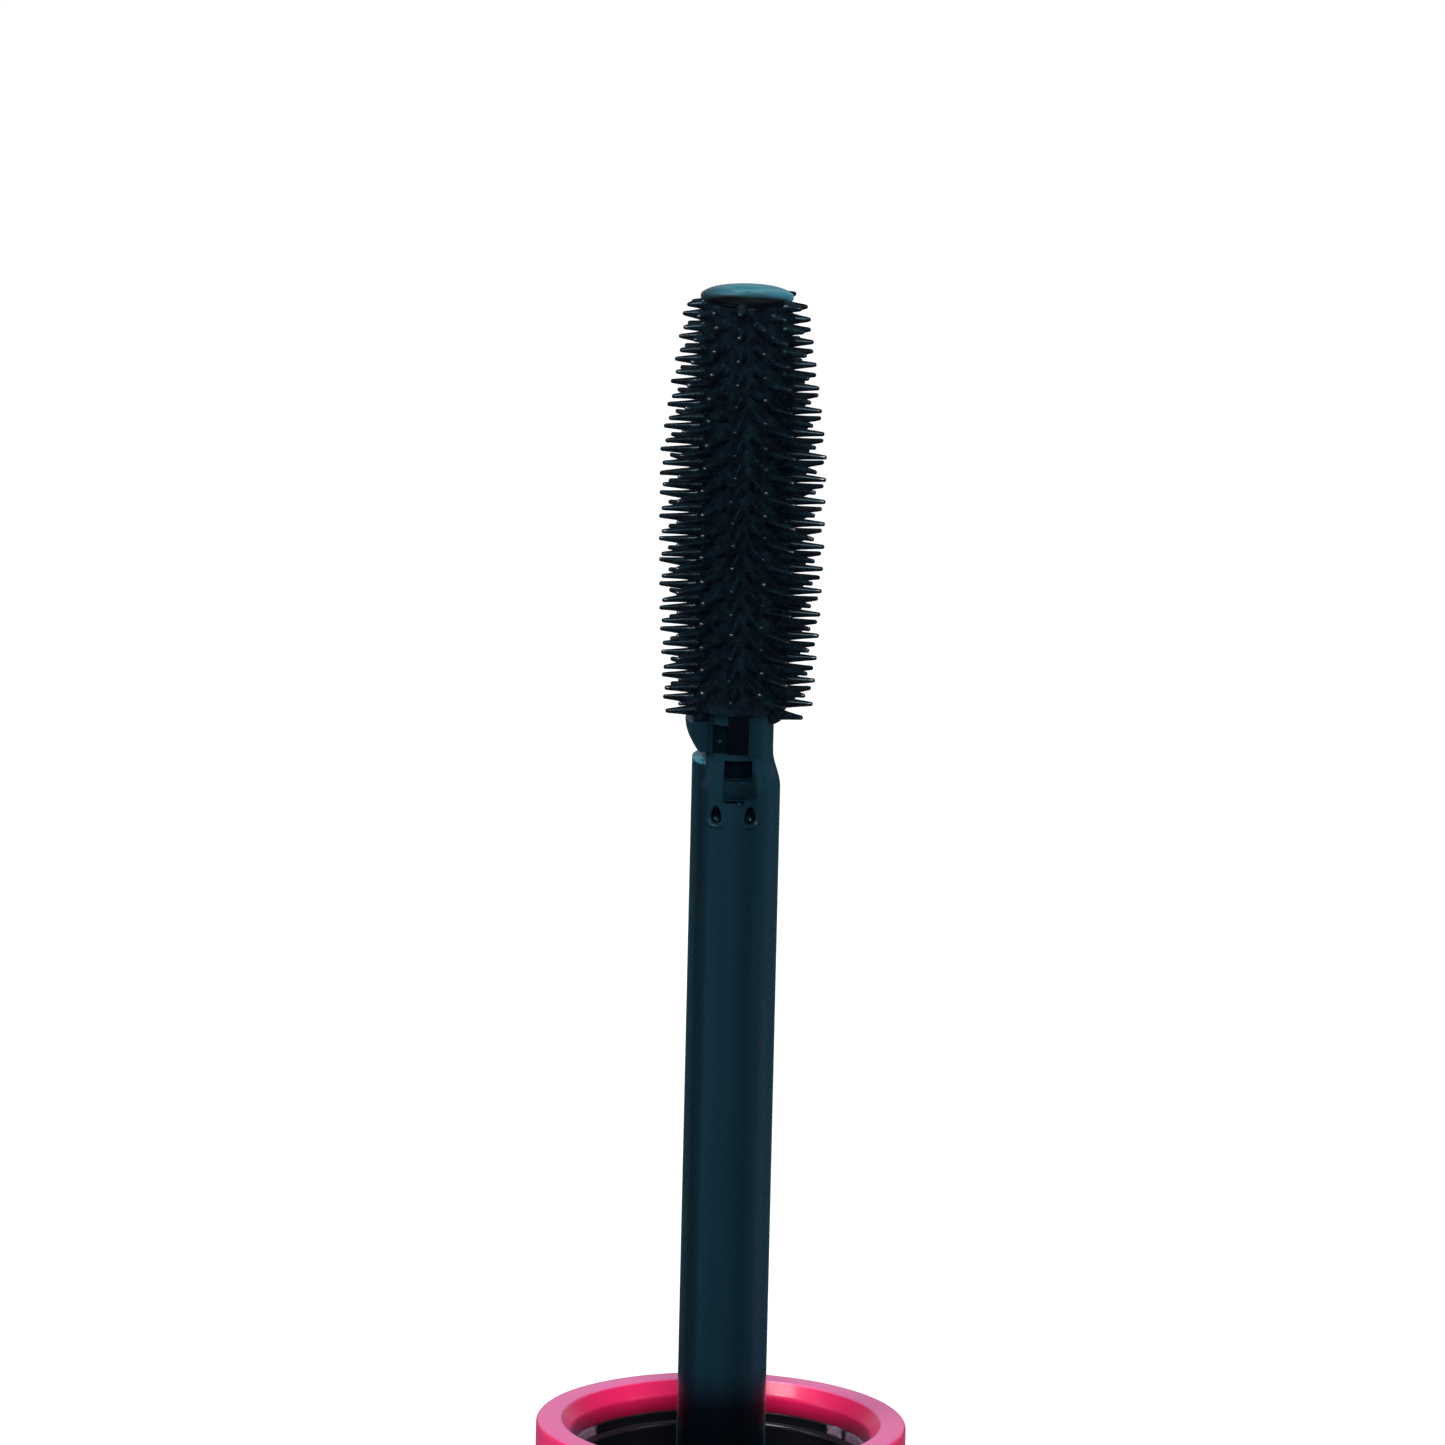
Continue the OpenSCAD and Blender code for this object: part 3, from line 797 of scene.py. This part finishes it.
def core_shape(r, z, a):
    """Adds the tab on the neck's -X side with a groove beside it, the notch, and the waves of the tip."""
    if r > CORE_R - 0.01 and MOUTH_Z + 0.1 < z < BRUSH_LOW + NOTCH_FADE:
        off = abs(angle_from(a, 180))
        if r > NECK_R - 0.01:
            rise = math.sin(math.pi / 2 * min(1.0, max(0.0, 1 - (BRUSH_LOW - z) / TAB_H)))
            tab = 1 - smooth_step(TAB_HALF_ANGLE - 1.5, TAB_HALF_ANGLE + 1.5, off)
            groove = smooth_step(TAB_HALF_ANGLE, TAB_HALF_ANGLE + 3, off)
            groove *= 1 - smooth_step(TAB_HALF_ANGLE + 5, TAB_HALF_ANGLE + 12, off)
            r += TAB_REACH * rise * tab - TAB_GROOVE * groove * rise
        return r, z + NOTCH_H * notch(a) * smooth_step(BRUSH_LOW - 0.2, BRUSH_LOW, z) * notch_fade(z)
    if z > BRUSH_TOP + 0.01:
        x, y = r * math.cos(a), r * math.sin(a)
        wave = TIP_WAVE * (1.6 + math.sin(3.4 * y - 1.1 * x + 0.6) + 0.6 * math.sin(2.9 * x + 5.3 * y))
        fall = TIP_FALL * smooth_step(0.6, -TIP_R, y) * smooth_step(BRUSH_TOP, TIP_Z - DOME_H, z)
        return r, z - wave * max(0.0, 1 - r / DOME_R) - fall
    return r, z


def make_brush_core():
    """Core of the brush: shank, neck with its tab and pocket, axis and domed tip."""
    steps = 14
    edge_z = TIP_Z - DOME_H
    dome = [
        Vector((DOME_R * math.cos(t), edge_z + DOME_H * math.sin(t)))
        for t in (math.pi / 2 * k / steps for k in range(1, steps + 1))
    ]
    outline = rounded([
        (0, SHANK_LOW), (ROD_BORE_R - 0.3, SHANK_LOW), (ROD_BORE_R, SHANK_LOW + 0.6),
        (ROD_BORE_R, ROD_TOP), (NECK_R, ROD_TOP), (NECK_R, BRUSH_LOW), (CORE_R, BRUSH_LOW),
        (CORE_R, BRUSH_TOP), (TIP_R, BRUSH_TOP, 0.03), (TIP_R, edge_z - 0.05, 0.03), (DOME_R, edge_z),
    ])
    obj = lathe("brush_core_moulding", divided(outline, 0.06) + dome, shape=core_shape, segments=288)
    cut(obj, (POCKET_X[0], -NECK_R - 1, POCKET_LOW), (POCKET_X[1], -POCKET_R, BRUSH_LOW))
    cut(obj, (GATE_X[0], -NECK_R - 1, BRUSH_LOW - 0.3), (GATE_X[1] - 0.01, -POCKET_R - 0.02, GATE_HIGH))
    joined(obj, pip("core_pip", (-0.85, -POCKET_R - 0.02, BRUSH_LOW - 0.9)))
    dressed(obj, "applicator", "brush_core", CORE_TEAL)


def reach_at(h):
    """How far from the axis the bristles reach at height h above the cap's rim."""
    for (h0, r0), (h1, r1) in zip(ENVELOPE, ENVELOPE[1:]):
        if h <= h1:
            return r0 + (r1 - r0) * (h - h0) / (h1 - h0)
    return ENVELOPE[-1][1]


def row_drop(row):
    """How far down a row's bristles sit, in pitches, from where they sit at the back."""
    half = BRISTLE_ROWS // 2
    return (row + 1 if row < half else BRISTLE_ROWS - 1 - row) * CHEVRON_STEP


def bristle_places():
    """(angle in degrees, height above the cap's rim) of every bristle."""
    places = []
    for row in range(BRISTLE_ROWS):
        start = REFERENCE_H - (row_drop(row) - row_drop(REFERENCE_ROW)) * BRISTLE_PITCH
        h = start - math.floor((start - FIELD_LOW) / BRISTLE_PITCH) * BRISTLE_PITCH
        angle = 90 + CHEVRON_ANGLE + (row + 0.5) * 360 / BRISTLE_ROWS
        in_front = abs(turn_between(270, angle)) < FRONT_HALF_ANGLE
        low = FIELD_LOW + (FRONT_GAP if in_front else 0)
        while h < TIP_Z - CAP_H - TOP_GAP:
            if h > low:
                places.append((angle, h))
            h += BRISTLE_PITCH
    return places


def add_bristle(verts, faces, ends, angle, h, rng):
    """One tapered bristle with a rounded end and a flared root, leaning and bent by a hair's breadth."""
    sides = BRISTLE_SIDES
    out = Vector((math.cos(math.radians(angle)), math.sin(math.radians(angle)), 0))
    side = Vector((-out.y, out.x, 0))
    up = Vector((0, 0, 1))
    length = reach_at(h) + 0.04 - BODY_R
    wet_row = abs(turn_between(WET_ANGLE, angle)) < WET_HALF_ANGLE
    shine = 0.35 + 0.65 * rng.random() if wet_row else 0.7 * rng.random() ** 4
    lean = Vector((rng.gauss(0, BRISTLE_LEAN), rng.gauss(0, BRISTLE_LEAN)))
    bend = Vector((rng.gauss(0, BRISTLE_BEND), rng.gauss(0, BRISTLE_BEND)))
    cap = BRISTLE_END_R / length
    rounding = [(1 - cap * (1 - math.sin(t)), BRISTLE_END_R * math.cos(t)) for t in (0.0, 0.4, 0.8, 1.2)]
    rings = [(-0.1, BRISTLE_TAPER[0][1]), *BRISTLE_TAPER, *rounding]
    first = len(verts)
    for t, r in rings:
        s = max(0.0, t) * length
        centre = out * (BODY_R + t * length) + side * (lean.x * s + bend.x * s * s)
        centre += up * (CAP_H + h + lean.y * s + bend.y * s * s)
        for k in range(sides):
            a = 2 * math.pi * k / sides
            verts.append((centre + side * (r * math.cos(a)) + up * (r * math.sin(a))) * MM)
            ends.append(shine if t > 1 - 1.1 * cap else 0.0)
    for ring in range(len(rings) - 1):
        for k in range(sides):
            low, high = first + ring * sides, first + (ring + 1) * sides
            n = (k + 1) % sides
            faces.append((low + k, low + n, high + n, high + k))
    faces.append([first + k for k in range(sides)][::-1])
    faces.append([first + (len(rings) - 1) * sides + k for k in range(sides)])


def make_bristles():
    """Elastomer sleeve with its rows of bristles, and the gate that it was moulded through."""
    rng = random.Random(7)

    def shape(r, z, a):
        return r, z + NOTCH_H * notch(a) * notch_fade(z)

    outline = rounded([
        (CORE_R, BRUSH_LOW), (BODY_R, BRUSH_LOW, 0.12), (BODY_R, BRUSH_TOP, 0.08), (CORE_R, BRUSH_TOP),
    ], loop=True)
    body = lathe("sleeve_body", divided(outline, 0.3, loop=True), shape=shape, loop=True)
    gate_low = (GATE_X[0], -GATE_OUT, POCKET_LOW)
    gate_high = (GATE_X[1], -POCKET_R, GATE_HIGH)
    gate = finished("gate", box_mesh("gate", gate_low, gate_high, 0.04))
    verts, faces, ends = [], [], []
    for angle, h in bristle_places():
        add_bristle(verts, faces, ends, angle, h, rng)
    mesh = bpy.data.meshes.new("bristles")
    mesh.from_pydata(verts, [], faces)
    mesh.attributes.new("bristle_end", "FLOAT", "POINT").data.foreach_set("value", ends)
    obj = finished("bristles", mesh, 60)
    joined(obj, body, gate)
    dressed(obj, "applicator", "bristle_sleeve", ELASTOMER)


# ---------------------------------------------------------------- tube


def make_tube_sleeve():
    """Pink sleeve round the bottle."""
    outline = rounded([
        (BOTTLE_R, 0, 0.1), (TUBE_R, 0, EDGE_R), (TUBE_R, TUBE_H, EDGE_R), (BOTTLE_R, TUBE_H, 0.06),
    ], loop=True)
    obj = lathe("tube_shell", divided(outline, 4.0, loop=True), x=TUBE_X, loop=True)
    dressed(obj, "tube", "tube_sleeve", PINK)


def make_bottle():
    """Black bottle with a stepped shoulder and a threaded neck."""
    step_z = TUBE_H + SHOULDER_STEP_H

    def shape(r, z, a):
        if abs(r - THREAD_ROOT_R) < 0.01 and z > step_z + 0.1:
            return r + (THREAD_R - THREAD_ROOT_R) * thread_height(z, a, TUBE_H + THREAD_START), z
        return r, z

    outline = rounded([
        (FILL_R, BOTTLE_LOW), (BOTTLE_R, BOTTLE_LOW), (BOTTLE_R, TUBE_H, 0.1), (SHOULDER_R, TUBE_H, 0.15),
        (SHOULDER_R, step_z, 0.3), (THREAD_ROOT_R, step_z, 0.25), (THREAD_ROOT_R, NECK_TOP, 0.3),
        (NECK_BORE_R, NECK_TOP), (NECK_BORE_R, TUBE_H - 0.6), (FILL_R, TUBE_H - 2.6, 0.8),
    ], loop=True)
    fine = divided(outline, 0.12, loop=True)
    obj = lathe("bottle_body", fine, x=TUBE_X, shape=shape, loop=True, segments=240)
    dressed(obj, "tube", "bottle", BLACK)


def make_wiper():
    """Wiper: a flange on the neck's rim, a straight wall, a funnel and the lip that strips the rod."""
    wall_z = NECK_TOP - WIPER_WALL_H
    hole_z = wall_z - WIPER_FUNNEL_H
    lip_r = WIPER_HOLE_R + WIPER_LIP_T
    outline = rounded([
        (WIPER_R, NECK_TOP, 0.1), (WIPER_R, WIPER_TOP, 0.3), (NECK_BORE_R - WIPER_T, WIPER_TOP, 0.35),
        (NECK_BORE_R - WIPER_T, wall_z, 0.6), (WIPER_HOLE_R, hole_z, 0.4), (WIPER_HOLE_R, WIPER_LOW, 0.1),
        (lip_r, WIPER_LOW, 0.1), (lip_r, hole_z, 0.4), (NECK_BORE_R, wall_z, 0.6), (NECK_BORE_R, NECK_TOP),
    ], loop=True)
    obj = lathe("neck_wiper", divided(outline, 1.0, loop=True), x=TUBE_X, loop=True)
    dressed(obj, "tube", "wiper", WIPER_PE)


def make_base_plug():
    """Plug in the base, which stands on the ring round its hollow underside."""
    ring_r = BOTTLE_R - PLUG_RING_W
    outline = rounded([
        (0, PLUG_RING_H), (ring_r - PLUG_RING_H, PLUG_RING_H, 0.2), (ring_r, 0, 0.15), (BOTTLE_R, 0, 0.15),
        (BOTTLE_R, BOTTLE_LOW), (FILL_R, BOTTLE_LOW), (FILL_R, PLUG_TOP, 0.2), (FILL_R - 1, PLUG_TOP),
        (FILL_R - 1, FILL_LOW), (0, FILL_LOW),
    ])
    obj = lathe("tube_base_plug", divided(outline, 2.0), x=TUBE_X)
    dressed(obj, "tube", "base_plug", BLACK)


def make_paste():
    """Mascara in the bottle, dipped in the middle where the brush was pulled out."""
    outline = rounded([
        (0, FILL_LOW), (FILL_R - 1, FILL_LOW), (FILL_R - 1, PLUG_TOP), (FILL_R, PLUG_TOP),
        (FILL_R, FILL_TOP, 0.2), (4.0, FILL_TOP - PASTE_DIP / 2, 1.5), (2.0, FILL_TOP - PASTE_DIP, 1.0),
        (0, FILL_TOP - PASTE_DIP),
    ])
    obj = lathe("mascara_fill", divided(outline, 1.0), x=TUBE_X)
    dressed(obj, "tube", "mascara", PASTE)


# ---------------------------------------------------------------- stage, light and camera


def floor_paper():
    """Pale paper that is brighter to the camera, and dark in reflections like a floor that ends nearby."""
    mat = bpy.data.materials.new("floor_paper")
    mat.use_nodes = True
    nodes, links = mat.node_tree.nodes, mat.node_tree.links
    nodes.remove(nodes["Principled BSDF"])
    light_path = nodes.new("ShaderNodeLightPath")
    pale = nodes.new("ShaderNodeBsdfDiffuse")
    pale.inputs["Color"].default_value = (0.92, 0.92, 0.92, 1)
    dim = nodes.new("ShaderNodeBsdfDiffuse")
    dim.inputs["Color"].default_value = (0.06, 0.06, 0.06, 1)
    paper = nodes.new("ShaderNodeMixShader")
    links.new(light_path.outputs["Is Glossy Ray"], paper.inputs["Fac"])
    links.new(pale.outputs["BSDF"], paper.inputs[1])
    links.new(dim.outputs["BSDF"], paper.inputs[2])
    glow = nodes.new("ShaderNodeEmission")
    strength = nodes.new("ShaderNodeMath")
    strength.operation = "MULTIPLY"
    strength.inputs[1].default_value = 0.55
    links.new(light_path.outputs["Is Camera Ray"], strength.inputs[0])
    links.new(strength.outputs["Value"], glow.inputs["Strength"])
    both = nodes.new("ShaderNodeAddShader")
    links.new(paper.outputs["Shader"], both.inputs[0])
    links.new(glow.outputs["Emission"], both.inputs[1])
    links.new(both.outputs["Shader"], nodes["Material Output"].inputs["Surface"])
    return mat


def make_floor():
    """Plain pale floor under the cap's and the tube's flat ends, as wide each way in metres as size."""
    size = 6.0
    mesh = bpy.data.meshes.new("floor")
    corners = [(-size, -size, 0), (size, -size, 0), (size, size, 0), (-size, size, 0)]
    mesh.from_pydata(corners, [], [(0, 1, 2, 3)])
    floor = bpy.data.objects.new("floor", mesh)
    floor.data.materials.append(floor_paper())
    bpy.context.scene.collection.objects.link(floor)


def make_world():
    """White surroundings for the camera, and a dimmer soft light from all round for everything else."""
    world = bpy.data.worlds.new("studio")
    world.use_nodes = True
    bpy.context.scene.world = world
    nodes, links = world.node_tree.nodes, world.node_tree.links
    nodes.clear()
    path = nodes.new("ShaderNodeLightPath")
    seen = nodes.new("ShaderNodeBackground")
    seen.inputs["Strength"].default_value = 1.05
    seen.inputs["Color"].default_value = (1, 1, 1, 1)
    lit = nodes.new("ShaderNodeBackground")
    lit.inputs["Strength"].default_value = 0.12
    lit.inputs["Color"].default_value = (0.95, 0.98, 1, 1)
    mix = nodes.new("ShaderNodeMixShader")
    out = nodes.new("ShaderNodeOutputWorld")
    links.new(path.outputs["Is Camera Ray"], mix.inputs["Fac"])
    links.new(lit.outputs["Background"], mix.inputs[1])
    links.new(seen.outputs["Background"], mix.inputs[2])
    links.new(mix.outputs["Shader"], out.inputs["Surface"])


def soft_box(name, towards, distance, width, height, watts, colour=(1, 1, 1)):
    """A rectangular light that faces the wand from a direction. The camera doesn't see it."""
    focus = Vector((0, 0, 0.075))
    data = bpy.data.lights.new(name, "AREA")
    data.shape = "RECTANGLE"
    data.size, data.size_y = width, height
    data.energy = watts
    data.color = colour
    obj = bpy.data.objects.new(name, data)
    obj.location = focus + Vector(towards).normalized() * distance
    obj.rotation_euler = (focus - obj.location).to_track_quat("-Z", "Y").to_euler()
    obj.visible_camera = False
    bpy.context.scene.collection.objects.link(obj)


def make_lights():
    """A large box high in front, a small one high on the left, and weak ones overhead, beside and behind."""
    soft_box("front_box", (0.05, -0.8, 0.6), 1.3, 0.6, 0.6, 13.0)
    soft_box("key_box", (-0.53, -0.28, 0.82), 1.0, 0.26, 0.26, 3.0)
    soft_box("top_box", (0.1, 0.1, 1.0), 1.1, 0.8, 0.8, 0.8)
    soft_box("left_box", (-1.0, -0.1, 0.3), 0.9, 0.3, 0.8, 0.7)
    soft_box("right_box", (0.9, -0.35, 0.35), 0.9, 0.35, 0.8, 0.6)
    soft_box("back_box", (0.0, 1.0, 0.17), 1.0, 2.8, 0.28, 0.95, (0.8, 0.88, 1.0))


def make_camera():
    """A long lens looking down at the wand, rolled so that the wand leans a little to the right."""
    elevation = math.radians(14.25)
    roll = math.radians(1.333)
    distance = 1.6
    view_w = 73.05
    aim = Vector((0, 0, CAP_H + 36.61)) * MM
    shift_right = -0.748 * MM
    back = Vector((0, -math.cos(elevation), math.sin(elevation)))
    level_right = Vector((1, 0, 0))
    level_up = back.cross(level_right)
    right = level_right * math.cos(roll) + level_up * math.sin(roll)
    up = level_up * math.cos(roll) - level_right * math.sin(roll)
    data = bpy.data.cameras.new("camera")
    data.sensor_width = 36
    data.lens = data.sensor_width * distance / (view_w * MM)
    data.clip_start, data.clip_end = 0.01, 50
    camera = bpy.data.objects.new("camera", data)
    place = aim + right * shift_right + back * distance
    turn = Matrix((right, up, back)).transposed().to_4x4()
    camera.matrix_world = Matrix.Translation(place) @ turn
    bpy.context.scene.collection.objects.link(camera)
    bpy.context.scene.camera = camera


make_camera()
make_overcap()
make_closure()
make_rod()
make_brush_core()
make_bristles()
make_tube_sleeve()
make_bottle()
make_wiper()
make_base_plug()
make_paste()
make_floor()
make_world()
make_lights()
bpy.context.scene.view_settings.view_transform = "Standard"
